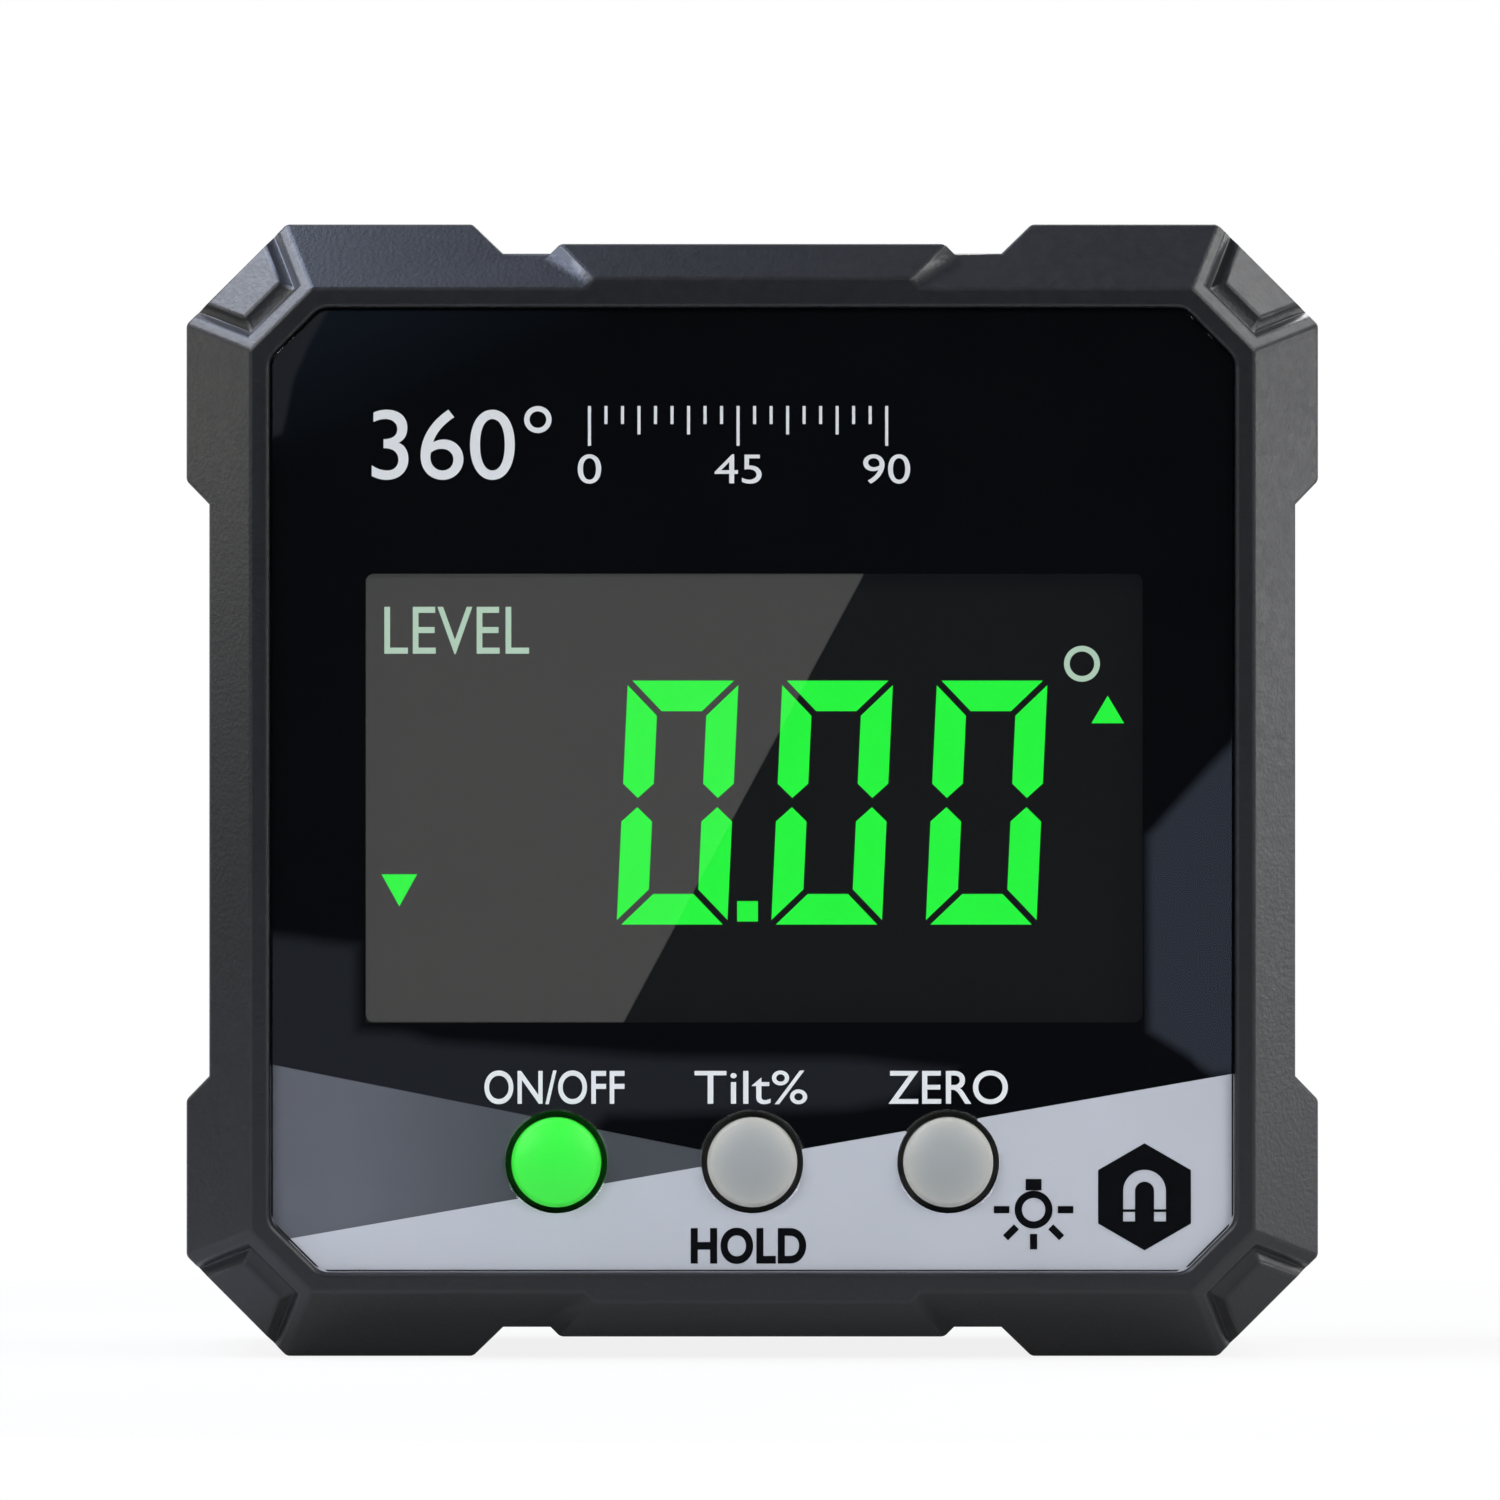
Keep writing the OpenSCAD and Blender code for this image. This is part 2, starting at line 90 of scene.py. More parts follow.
# %% [markdown]
# The photograph looks straight at the front from far away, so that no side of the case shows.
# A long lens at 0.8 m does the same. The picture is 1500 pixels square, and 18.86 of them cover a
# millimetre at the widest outline of the case, which lies behind the front bevel.

# %% Camera
PHOTO_SIDE, PIXELS_PER_MM = 1500, 18.86
OUTLINE_DEPTH, CAMERA_DISTANCE = 3.5, 800
VIEW_X, VIEW_Z = -0.12, 32.13
SENSOR_WIDTH = 36

view_width = PHOTO_SIDE / PIXELS_PER_MM
camera_y = rim_y + OUTLINE_DEPTH - CAMERA_DISTANCE
lens = bpy.data.cameras.new("photo_camera")
lens.sensor_width = SENSOR_WIDTH
lens.lens = SENSOR_WIDTH * CAMERA_DISTANCE / view_width
camera = bpy.data.objects.new("photo_camera", lens)
camera.location = Vector((VIEW_X, camera_y, VIEW_Z)) * MM
camera.rotation_euler = (math.radians(90), 0, 0)
scene = bpy.context.scene
scene.collection.objects.link(camera)
scene.camera = camera
scene.view_settings.view_transform = "Standard"
print("camera at", [round(c / MM, 1) for c in camera.location], "mm, lens", round(lens.lens), "mm")

# %% [markdown]
# Shader maths is easier to read as sums than as boxes and wires. The class Value wraps one socket:
# adding or multiplying two of them adds a Math node. Colours are written as they look on screen,
# from 0 to 255, and turned into the linear numbers that shaders use.

# %% Colours and sums
def paint(red, green, blue):
    """A colour given as 0 to 255 on screen, in the linear numbers that shaders use."""
    def linear(c):
        c /= 255
        return c / 12.92 if c <= 0.04045 else ((c + 0.055) / 1.055) ** 2.4
    return (linear(red), linear(green), linear(blue), 1)


class Value:
    """One number in a shader. Sums with it add Math nodes."""

    def __init__(self, shading, socket):
        self.shading, self.socket = shading, socket

    def math(self, operation, *others):
        """The result of a Math node with this number first."""
        node = self.shading.node("Math", {"operation": operation})
        for slot, value in zip(node.inputs, (self, *others)):
            self.shading.feed(slot, value)
        return Value(self.shading, node.outputs[0])

    def clamp(self):
        """The number kept between 0 and 1."""
        return self.math("MINIMUM", 1.0).math("MAXIMUM", 0.0)

    def __add__(self, other):
        return self.math("ADD", other)

    def __sub__(self, other):
        return self.math("SUBTRACT", other)

    def __rsub__(self, other):
        return self.math("MULTIPLY", -1) + other

    def __mul__(self, other):
        return self.math("MULTIPLY", other)

    def __gt__(self, other):
        return self.math("GREATER_THAN", other)

    def __lt__(self, other):
        return self.math("LESS_THAN", other)

    __radd__ = __add__
    __rmul__ = __mul__


print("colours and sums ready")

# %% [markdown]
# The class Shading makes every other kind of node in a tree, for a material or for the world.
# Patterns are placed by Object coordinates in millimetres, so they stay on a piece as it moves.

# %% Nodes
class Shading:
    """A node tree that is being written."""

    def __init__(self, tree):
        self.tree = tree

    def feed(self, socket, value):
        """Links a socket to another one, or sets it to a plain number or colour."""
        if isinstance(value, Value):
            value = value.socket
        if isinstance(value, bpy.types.NodeSocket):
            self.tree.links.new(value, socket)
        else:
            socket.default_value = value

    def node(self, kind, settings=None, inputs=None):
        """A node of this type: its settings are set first, then its sockets get values or links."""
        node = self.tree.nodes.new("ShaderNode" + kind)
        for name, value in (settings or {}).items():
            setattr(node, name, value)
        for name, value in (inputs or {}).items():
            self.feed(node.inputs[name], value)
        return node

    def value(self, node, output=0):
        """One output of a node, ready for sums."""
        return Value(self, node.outputs[output])

    def part(self, vector, axis):
        """One of the three numbers of a vector."""
        return self.value(self.node("SeparateXYZ", inputs={0: vector}), axis)

    def place(self, axis):
        """One Object coordinate of the piece, in millimetres."""
        return self.part(self.node("TexCoord").outputs["Object"], axis) * (1 / MM)

    def noise(self, size, detail=2.0, stretch=(1, 1, 1)):
        """Soft random spots of about this size in millimetres, from 0 to 1."""
        coordinates = self.node("TexCoord").outputs["Object"]
        mapping = self.node("Mapping", inputs={"Vector": coordinates, "Scale": stretch})
        spots = self.node("TexNoise", inputs={"Vector": mapping.outputs[0],
                                              "Scale": 1 / (size * MM), "Detail": detail})
        return self.value(spots, "Fac")

    def blend(self, share, first, second):
        """A colour between two others."""
        mix = self.node("Mix", {"data_type": "RGBA"}, {0: share, 6: first, 7: second})
        return mix.outputs[2]

    def rays(self, *kinds):
        """1 for light rays of any of these kinds, 0 for others."""
        path = self.node("LightPath")
        share = self.value(path, kinds[0])
        for kind in kinds[1:]:
            share = share.math("MAXIMUM", self.value(path, kind))
        return share


print("node helpers ready")

# %% [markdown]
# A Finish is a material around one Principled shader, the only shader that the export needs. Most
# finishes here drift between two colours, and some have a fine relief. A few mix a second shader
# over the first, for glass and for the studio.

# %% Finishes
class Finish(Shading):
    """A material around one Principled shader."""

    def __init__(self, name, **sockets):
        self.material = bpy.data.materials.new(name)
        self.material.use_nodes = True
        super().__init__(self.material.node_tree)
        self.shader = self.tree.nodes["Principled BSDF"]
        self.output = self.tree.nodes["Material Output"]
        for socket, value in sockets.items():
            self.set(socket.replace("_", " "), value)

    def set(self, socket, value):
        """Feeds a socket of the Principled shader."""
        self.feed(self.shader.inputs[socket], value)

    def mottle(self, first, second, size, detail=2.0):
        """A base colour that drifts between two colours."""
        self.set("Base Color", self.blend(self.noise(size, detail), first, second))

    def grain(self, size, height, strength=0.6, detail=2.0):
        """A fine relief: spots of a size and a height in millimetres."""
        bump = self.node("Bump", inputs={"Strength": strength, "Distance": height * MM,
                                         "Height": self.noise(size, detail)})
        self.set("Normal", bump.outputs["Normal"])

    def overlay(self, share, shader, under=None):
        """Mixes a shader by a share over the Principled one, or over another one that is given."""
        first = under or self.shader
        mix = self.node("MixShader", inputs={0: share, 1: first.outputs[0], 2: shader.outputs[0]})
        self.feed(self.output.inputs["Surface"], mix.outputs[0])


def dress(finish, *names):
    """Gives CAD nodes a finish, through the material slots of their objects."""
    for name in names:
        mesh = nodes[name].data
        mesh.materials.clear()
        mesh.materials.append(finish.material)


print("finish helpers ready")

# %% [markdown]
# The case is moulded in charcoal plastic. Its mould was spark eroded, which leaves a dull, sandy
# skin: fine spots a few tenths of a millimetre wide, some a little smoother than others.
# Two sizes of noise make that skin. The coarse one drifts the colour, the fine one the relief.

# %% Case plastic
case_plastic = Finish("case_plastic", Specular_IOR_Level=0.45)
case_plastic.mottle(paint(18, 19, 22), paint(30, 31, 35), size=0.3, detail=4)
case_plastic.set("Roughness", 0.36 + 0.14 * case_plastic.noise(0.5, 3))
case_plastic.grain(size=0.22, height=0.03, strength=0.6, detail=3)
print("finish", case_plastic.material.name)

# %% [markdown]
# A moulded edge is never quite sharp, but the edges of the CAD solids are. Only those on the outer
# skin of the case show, so only they are rounded, and not where there is no room for it: in the ends
# of the corner grooves, on the lips where the door leaves the case, and on the fine grooves of the
# thumb grip, which get a smaller round. The outline is alike on its four sides, so a vertex is told
# by how far from the middle it lies, and how deep behind the rim.

# %% Edges to round
TOUCH, NEAR = 0.02, 0.05
SIDE_SKIN, CORNER_SKIN, CORNER_RIM, CORNER_FLAT = 28.2, 54.3, 49.7, 54.7
GROOVE_END = 6
MOUTH_HALF, MOUTH_FRONT, MOUTH_BACK = 14.2, 2.4, 0.8
GRIP_HALF_WIDE, GRIP_HALF_TALL, GRIP_DEEP = 22, 7.3, 0.6
SEAT_ROOM = 0.3


def spot(vertex):
    """A vertex as its distances from the middle, sideways and up, and its depth."""
    x, y, z = vertex.co / MM
    return abs(x), abs(z - middle_z), y - rim_y


def on_skin(vertex):
    """Whether a vertex lies on the outer skin: the sides, the rim, a corner's bevel or the back."""
    side, up, depth = spot(vertex)
    on_side = max(side, up) > SIDE_SKIN or side + up > CORNER_SKIN
    on_corner = side + up > CORNER_RIM and depth < OUTLINE_DEPTH + TOUCH
    return on_side or on_corner or depth < TOUCH or depth > back_depth - TOUCH


def in_groove_end(vertex):
    """Whether a vertex lies in the open end of a corner groove, which is too narrow for a round."""
    side, up, depth = spot(vertex)
    return abs(side + up - CORNER_FLAT) < NEAR and OUTLINE_DEPTH + NEAR < depth < GROOVE_END


def in_door_mouth(vertex):
    """Whether a vertex lies on the thin lips where the door leaves the side of the case."""
    side, up, depth = spot(vertex)
    behind = back_depth - MOUTH_FRONT < depth < back_depth - MOUTH_BACK
    return side > SIDE_SKIN and up < MOUTH_HALF and behind


def on_grip(vertex):
    """Whether a vertex lies on the fine grooves of the door's thumb grip."""
    side, up, depth = spot(vertex)
    return side < GRIP_HALF_WIDE and up < GRIP_HALF_TALL and depth > back_depth - GRIP_DEEP


def too_narrow(vertex):
    """Whether a round of full size has no room at a vertex."""
    return in_groove_end(vertex) or in_door_mouth(vertex) or on_grip(vertex)


def case_edge(edge):
    """The edges of the outer skin, apart from those that have no room for a round."""
    return all(on_skin(v) for v in edge.verts) and not any(too_narrow(v) for v in edge.verts)


def seat_edge(edge):
    """The inner edge of the rim, round the seat of the panel."""
    return all(spot(v)[2] < TOUCH and max(spot(v)[:2]) < panel_half + SEAT_ROOM for v in edge.verts)


def grip_edge(edge):
    """The edges of the grooves of the thumb grip."""
    return all(on_grip(v) for v in edge.verts)


print("edge tests ready, back face at", round(back_depth, 2), "mm")

# %% [markdown]
# A rounded copy stands in for each part of the case. The copy's loose triangles are merged, flat
# areas are dissolved into single faces, and the bmesh bevel operator rounds the chosen edges.
# Weighted normals then keep the flat faces flat.

# %% Rounding tools
WELD = 1e-6
FLAT, SHARP, SMOOTH = math.radians(0.3), math.radians(20), math.radians(31)


def new_piece(name, shape, finish, body):
    """Makes a bmesh into an object with a finish that rides on a body."""
    mesh = bpy.data.meshes.new(name)
    shape.to_mesh(mesh)
    shape.free()
    mesh.materials.append(finish.material)
    piece = bpy.data.objects.new(name, mesh)
    scene.collection.objects.link(piece)
    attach(piece, body)
    return piece


def merged_copy(node):
    """The mesh of a CAD node as a bmesh with merged corners and whole flat faces."""
    shape = bmesh.new()
    shape.from_mesh(nodes[node].data)
    bmesh.ops.remove_doubles(shape, verts=shape.verts, dist=WELD)
    bmesh.ops.dissolve_limit(shape, angle_limit=FLAT, use_dissolve_boundaries=False,
                             verts=shape.verts, edges=shape.edges)
    return shape


def round_edges(shape, chosen, radius, segments=3):
    """Rounds the outward sharp edges that the given test picks."""
    edges = [e for e in shape.edges
             if e.is_manifold and e.calc_face_angle_signed() > SHARP and chosen(e)]
    bmesh.ops.bevel(shape, geom=edges, offset=radius * MM, offset_type="OFFSET",
                    segments=segments, profile=0.5, affect="EDGES", loop_slide=False,
                    material=-1)
    return len(edges)


def smooth_faces(piece):
    """Smooth shading that leaves flat faces flat and sharp edges sharp."""
    for face in piece.data.polygons:
        face.use_smooth = True
    piece.data.set_sharp_from_angle(angle=SMOOTH)
    normals = piece.modifiers.new("flat_faces", "WEIGHTED_NORMAL")
    normals.keep_sharp = True


print("rounding tools ready")

# %% [markdown]
# Both halves of the case and the battery door get rounds of at most a quarter of a millimetre, as a
# mould leaves them. The widest one runs round the seat of the panel, where it catches the light.

# %% Rounded copies of the case parts
SEAT_ROUND, GRIP_ROUND = 0.25, 0.06
CASE_ROUNDS = {"front_case": 0.16, "rear_case": 0.2, "battery_door": 0.15}

for node, radius in CASE_ROUNDS.items():
    shape = merged_copy(node)
    count = round_edges(shape, seat_edge, SEAT_ROUND) + round_edges(shape, grip_edge, GRIP_ROUND)
    count += round_edges(shape, case_edge, radius)
    piece = new_piece(node + "_moulding", shape, case_plastic,
                      nodes[node]["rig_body"])
    smooth_faces(piece)
    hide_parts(node)
    print(piece.name, "has", count, "rounded edges and", len(piece.data.polygons), "faces")

# %% [markdown]
# The panel is a sheet of clear acrylic. Its print lies under a clear face, so the light passes the
# acrylic twice. Real refraction needs a closed solid with the Principled shader's Transmission at 1.
# Lamps can't be found through such a surface, so the plate turns transparent for shadow rays and
# for the rays that diffuse surfaces send out, and the print behind it is lit plainly.

# %% Clear panel
PANEL_ROUND = 0.12


def front_edge(edge):
    """The edges of the panel's front face."""
    return all(spot(v)[2] < panel_front + TOUCH for v in edge.verts)


clear_acrylic = Finish("clear_acrylic", Roughness=0.0, IOR=1.49, Transmission_Weight=1.0)
clear_acrylic.mottle((0.97, 0.98, 0.985, 1), (0.985, 0.99, 0.99, 1), size=9)
clear_acrylic.overlay(clear_acrylic.rays("Is Shadow Ray", "Is Diffuse Ray"),
                      clear_acrylic.node("BsdfTransparent"))

shape = merged_copy("front_panel")
count = round_edges(shape, front_edge, PANEL_ROUND)
panel = new_piece("front_panel_clear", shape, clear_acrylic, "case")
smooth_faces(panel)
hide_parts("front_panel")
print(panel.name, "has", count, "rounded edges")

# %% [markdown]
# The print is two layers of ink close behind the clear face: white and dark marks in front, and
# behind them one film in black, silver and grey with a window for the display.
# A flat curve fills an outline and leaves out any outline inside it, which suits print well. It is
# drawn in millimetres, made a mesh, and only then set upright at its depth.

# %% Flat shapes
INK = 0.008


def face_on(depth):
    """The placing that sets a flat drawing in millimetres upright at a depth behind the rim."""
    return (Matrix.Translation((0, (rim_y + depth) * MM, 0))
            @ Matrix.Rotation(math.radians(90), 4, "X") @ Matrix.Scale(MM, 4))


def as_mesh(curve):
    """A curve or text as a mesh of its own."""
    holder = bpy.data.objects.new(curve.name, curve)
    scene.collection.objects.link(holder)
    bpy.context.view_layer.update()
    shown = holder.evaluated_get(bpy.context.evaluated_depsgraph_get())
    mesh = bpy.data.meshes.new_from_object(shown)
    bpy.data.objects.remove(holder)
    return mesh


def flat(outlines):
    """Closed outlines as a filled film. An outline inside another one leaves a hole."""
    curve = bpy.data.curves.new("outline", "CURVE")
    curve.dimensions, curve.fill_mode, curve.extrude = "2D", "BOTH", INK / 2
    for outline in outlines:
        spline = curve.splines.new("POLY")
        spline.points.add(len(outline) - 1)
        for point, (x, z) in zip(spline.points, outline):
            point.co = (x, z, 0, 1)
        spline.use_cyclic_u = True
    return as_mesh(curve)


def words(text, left, right, low, high, weight=0.0):
    """Lettering that fills a box on the panel. A bevel all round makes the strokes heavier."""
    curve = bpy.data.curves.new("lettering", "FONT")
    curve.body, curve.extrude, curve.space_character = text, INK / 2, 1 + 2 * weight
    curve.bevel_depth, curve.bevel_resolution = weight, 0
    mesh = as_mesh(curve)
    corners = [v.co for v in mesh.vertices]
    wide = [min(c.x for c in corners), max(c.x for c in corners)]
    tall = [min(c.y for c in corners), max(c.y for c in corners)]
    for c in corners:
        c.x = left + (c.x - wide[0]) * (right - left) / (wide[1] - wide[0])
        c.y = low + (c.y - tall[0]) * (high - low) / (tall[1] - tall[0])
        c.z *= INK / (INK + 2 * weight)
    return mesh


print("ink films are", INK, "mm thick")

# %% [markdown]
# Signs are drawn with circles, arcs and rectangles, each a list of points on the panel. All shapes
# in one ink are joined into one film, which becomes a piece that rides on the case.

# %% Outlines and films
DRAWN_WELD = 1e-4


def round_outline(x, z, radius, steps=64, first=0, turn=360):
    """Points along a circle or an arc."""
    angles = [math.radians(first + turn * k / steps) for k in range(steps + (turn != 360))]
    return [(x + radius * math.cos(a), z + radius * math.sin(a)) for a in angles]


def rectangle(left, right, low, high, radius=0.0):
    """A rectangle, with rounded corners where a radius is given."""
    if not radius:
        return [(left, low), (right, low), (right, high), (left, high)]
    middles = [(right - radius, high - radius, 0), (left + radius, high - radius, 90),
               (left + radius, low + radius, 180), (right - radius, low + radius, 270)]
    return [p for x, z, first in middles for p in round_outline(x, z, radius, 6, first, 90)]


def print_film(name, shapes, depth, finish, cuts=None):
    """Joins flat shapes into one film at a depth behind the rim."""
    film = bmesh.new()
    for mesh in shapes:
        film.from_mesh(mesh)
        bpy.data.meshes.remove(mesh)
    bmesh.ops.remove_doubles(film, verts=film.verts, dist=DRAWN_WELD)
    bmesh.ops.recalc_face_normals(film, faces=film.faces)
    if cuts:
        cuts(film)
    bmesh.ops.transform(film, matrix=face_on(depth), verts=film.verts)
    piece = new_piece(name, film, finish, "case")
    print(name, "has", len(piece.data.polygons), "faces")
    return piece


print("outline helpers ready")

# %% [markdown]
# The large fields of the print are black, silver and dark grey. Screen ink is never quite even, so
# each drifts a little between two colours. The grey is also a little darker towards the tip of the
# wedge. The clear sheet in front gives the gloss, so the inks have none of their own.

# %% Inks of the fields
FADE_LEFT, FADE_WIDE = -21.5, 8

black_ink = Finish("black_ink", Roughness=0.5, Specular_IOR_Level=0.0)
black_ink.mottle(paint(4, 5, 7), paint(7, 8, 10), size=6)
silver_ink = Finish("silver_ink", Specular_IOR_Level=0.0)
silver_ink.mottle(paint(187, 191, 199), paint(194, 197, 207), size=5, detail=5)
silver_ink.set("Roughness", 0.38 + 0.14 * silver_ink.noise(0.12))
grey_ink = Finish("grey_ink", Specular_IOR_Level=0.0)
to_tip = ((grey_ink.place(0) - FADE_LEFT) * (1 / FADE_WIDE)).clamp()
mottled = grey_ink.blend(grey_ink.noise(3, 4), paint(90, 93, 100), paint(98, 100, 108))
grey_ink.set("Base Color", grey_ink.blend(to_tip, mottled, paint(75, 78, 84)))
grey_ink.set("Roughness", 0.4 + 0.1 * grey_ink.noise(0.4))
print("inks", [ink.material.name for ink in (black_ink, silver_ink, grey_ink)])

# %% [markdown]
# One film covers the whole panel, apart from the window over the display and the three
# key holes. Two straight cuts across it, made with the bisect operator, part the black field from
# a silver band that rises to the right, and from a grey wedge that points at the middle key.
# Each face takes the ink of its side of the cuts.

# %% Coloured fields of the print
KEY_PITCH, KEY_Z, KEY_R, HOLE_R, HOLE_EDGE = 10.35, 10.35, 2.375, 2.695, 0.03
WINDOW, WINDOW_ROUND = (-20.45, 20.65, 17.72, 41.45), 0.45
FIELD_EDGE, CORNER_LEG = 0.13, 2.56
BAND_LEFT, BAND_RIGHT = Vector((-25.4, 6.15, 0)), Vector((25.4, 15.03, 0))
WEDGE_LEFT, WEDGE_TIP = Vector((-25.4, 15.52, 0)), Vector((-0.33, 10.53, 0))
MARK_DEPTH, FIELD_DEPTH = panel_front + 0.35, panel_front + 0.37
BAND_INK, WEDGE_INK = 1, 2


def across(start, end):
    """The direction to the left of a line on the panel."""
    run = (end - start).normalized()
    return Vector((-run.y, run.x, 0))


def colour_fields(film):
    """Cuts the print along the band and the wedge, and numbers the ink of each face."""
    above_band, above_wedge = across(BAND_LEFT, BAND_RIGHT), across(WEDGE_LEFT, WEDGE_TIP)
    for point, side in ((BAND_LEFT, above_band), (WEDGE_LEFT, above_wedge)):
        bmesh.ops.bisect_plane(film, geom=film.verts[:] + film.edges[:] + film.faces[:],
                               plane_co=point, plane_no=side)
    for face in film.faces:
        middle = face.calc_center_median()
        if (middle - BAND_LEFT).dot(above_band) < 0:
            face.material_index = BAND_INK
        elif (middle - WEDGE_LEFT).dot(above_wedge) < 0:
            face.material_index = WEDGE_INK


key_x = {"on_off": -KEY_PITCH, "hold": 0, "zero": KEY_PITCH}
key_holes = [round_outline(x, KEY_Z, HOLE_R + HOLE_EDGE) for x in key_x.values()]
half = panel_half - FIELD_EDGE
low, high = middle_z - half, middle_z + half
panel_outline = [(half, low + CORNER_LEG), (half, high - CORNER_LEG), (half - CORNER_LEG, high),
                 (CORNER_LEG - half, high), (-half, high - CORNER_LEG), (-half, low + CORNER_LEG),
                 (CORNER_LEG - half, low), (half - CORNER_LEG, low)]
fields = print_film("panel_print_fields",
                    [flat([panel_outline, rectangle(*WINDOW, WINDOW_ROUND), *key_holes])],
                    FIELD_DEPTH, black_ink, cuts=colour_fields)
for ink in (silver_ink, grey_ink):
    fields.data.materials.append(ink.material)

# %% [markdown]
# Above each key stands what it does, in plain bold letters. The head of the panel carries the range
# of the gauge and a short scale of degrees, all in the same white ink. These marks lie in front
# of the black field, as the first ink that was printed on the clear sheet.

# %% White marks
CAPS_LOW, CAPS_HIGH = 13.42, 15.2
HEAD_LEFT, HEAD_RIGHT, HEAD_LOW, HEAD_HIGH = -20.1, -10.6, 46.4, 50.3
SCALE_LEFT, SCALE_RIGHT, SCALE_STEPS = -8.6, 7.1, 18
TICK, LONG_TICK, MIDDLE_TICK, SHORT_TICK = 0.16, 2.1, 1.5, 0.95
NUMBER_LOW, NUMBER_HIGH, NUMBER_HALF = HEAD_LOW - 0.2, HEAD_LOW + 1.35, 0.62

white_ink = Finish("white_ink", Specular_IOR_Level=0.0)
white_ink.mottle(paint(226, 229, 232), paint(236, 238, 240), size=1.2)
white_ink.set("Roughness", 0.45 + 0.1 * white_ink.noise(0.3))

marks = [words(text, left, right, CAPS_LOW, CAPS_HIGH, weight)
         for text, left, right, weight in (("ON/OFF", -14.15, -6.75, 0.01),
                                           ("Tilt%", -3.05, 2.9, 0.002),
                                           ("ZERO", 7.2, 13.5, 0.006))]
marks.append(words("360°", HEAD_LEFT, HEAD_RIGHT, HEAD_LOW, HEAD_HIGH))
ticks = []
for step in range(SCALE_STEPS + 1):
    x = SCALE_LEFT + (SCALE_RIGHT - SCALE_LEFT) * step / SCALE_STEPS
    length = LONG_TICK if step % 9 == 0 else MIDDLE_TICK if step % 3 == 0 else SHORT_TICK
    ticks.append(rectangle(x - TICK / 2, x + TICK / 2, HEAD_HIGH - length, HEAD_HIGH))
marks.append(flat(ticks))
for number, at in (("0", SCALE_LEFT), ("45", (SCALE_LEFT + SCALE_RIGHT) / 2), ("90", SCALE_RIGHT)):
    wide = NUMBER_HALF * len(number)
    marks.append(words(number, at - wide, at + wide, NUMBER_LOW, NUMBER_HIGH))
print_film("panel_print_white", marks, MARK_DEPTH, white_ink)

# %% [markdown]
# The silver band carries one more key name and two pictograms in black: a lamp, for the light
# behind the display, and a horseshoe magnet in a hexagon, for the magnets in the base. The magnet
# is left open in the hexagon, so that the silver shows through.

# %% Dark marks
HOLD_BOX, HOLD_WEIGHT = (-3.25, 2.85, 4.98, 6.9), 0.038
LAMP_X, LAMP_Z, BULB_OUT, BULB_IN = 14.86, 7.85, 1.0, 0.62
RAY_NEAR, RAY_FAR, RAY_WIDE = 1.28, 2.1, 0.38
RAY_ANGLES = (0, 180, 225, 270, 315)
SOCKET_HALF, SOCKET_LOW, SOCKET_HIGH = 0.42, 1.02, 1.62
MAGNET_X, MAGNET_Z, HEXAGON_R, ARM_OUT, ARM_IN = 20.72, 8.53, 2.83, 1.13, 0.5
ARCH_UP, ARM_DOWN, POLE_DOWN, POLE_GAP = 0.3, 0.66, 1.3, 0.14


def bar(x, z, angle, near, far, width):
    """A short bar that points away from a middle."""
    turn = Matrix.Rotation(math.radians(angle), 2)
    corners = rectangle(near, far, -width / 2, width / 2)
    return [tuple(turn @ Vector(c) + Vector((x, z))) for c in corners]


lamp = [round_outline(LAMP_X, LAMP_Z, radius, 48) for radius in (BULB_OUT, BULB_IN)]
lamp += [bar(LAMP_X, LAMP_Z, angle, RAY_NEAR, RAY_FAR, RAY_WIDE) for angle in RAY_ANGLES]
lamp.append(rectangle(LAMP_X - SOCKET_HALF, LAMP_X + SOCKET_HALF,
                      LAMP_Z + SOCKET_LOW, LAMP_Z + SOCKET_HIGH))
hexagon = round_outline(MAGNET_X, MAGNET_Z, HEXAGON_R, 6, 30)
arch_z, arm_z, pole_z = MAGNET_Z + ARCH_UP, MAGNET_Z - ARM_DOWN, MAGNET_Z - POLE_DOWN
arch = (round_outline(MAGNET_X, arch_z, ARM_OUT, 24, 0, 180)
        + [(MAGNET_X - ARM_OUT, arm_z), (MAGNET_X - ARM_IN, arm_z)]
        + round_outline(MAGNET_X, arch_z, ARM_IN, 24, 180, -180)
        + [(MAGNET_X + ARM_IN, arm_z), (MAGNET_X + ARM_OUT, arm_z)])
poles = [rectangle(MAGNET_X + left, MAGNET_X + left + ARM_OUT - ARM_IN, pole_z, arm_z - POLE_GAP)
         for left in (-ARM_OUT, ARM_IN)]

dark_ink = Finish("dark_ink", Roughness=0.45, Specular_IOR_Level=0.0)
dark_ink.mottle(paint(9, 10, 12), paint(15, 16, 18), size=0.8)
print_film("panel_print_dark",
           [words("HOLD", *HOLD_BOX, HOLD_WEIGHT), flat(lamp), flat([hexagon, arch, *poles])],
           MARK_DEPTH, dark_ink)

# %% [markdown]
# The display is two sheets of glass with a dark polariser in front. It is a little more of a mirror
# than plain glass, because of the reflector behind it. What it shows is lit from behind: the
# reading in bright green, and the small signs in a paler green.

# %% Display glass and its light
dark_glass = Finish("dark_glass", Roughness=0.0, IOR=1.9, Specular_IOR_Level=0.75)
dark_glass.mottle(paint(14, 12, 8), paint(17, 15, 10), size=12)
dress(dark_glass, "lcd_cell")


def lit_film(name, strength, base, first, second, size, detail=2.0):
    """A film that glows in a colour between two others."""
    film = Finish(name, Roughness=0.3, Emission_Strength=strength)
    film.set("Base Color", base)
    film.set("Emission Color", film.blend(film.noise(size, detail), first, second))
    return film


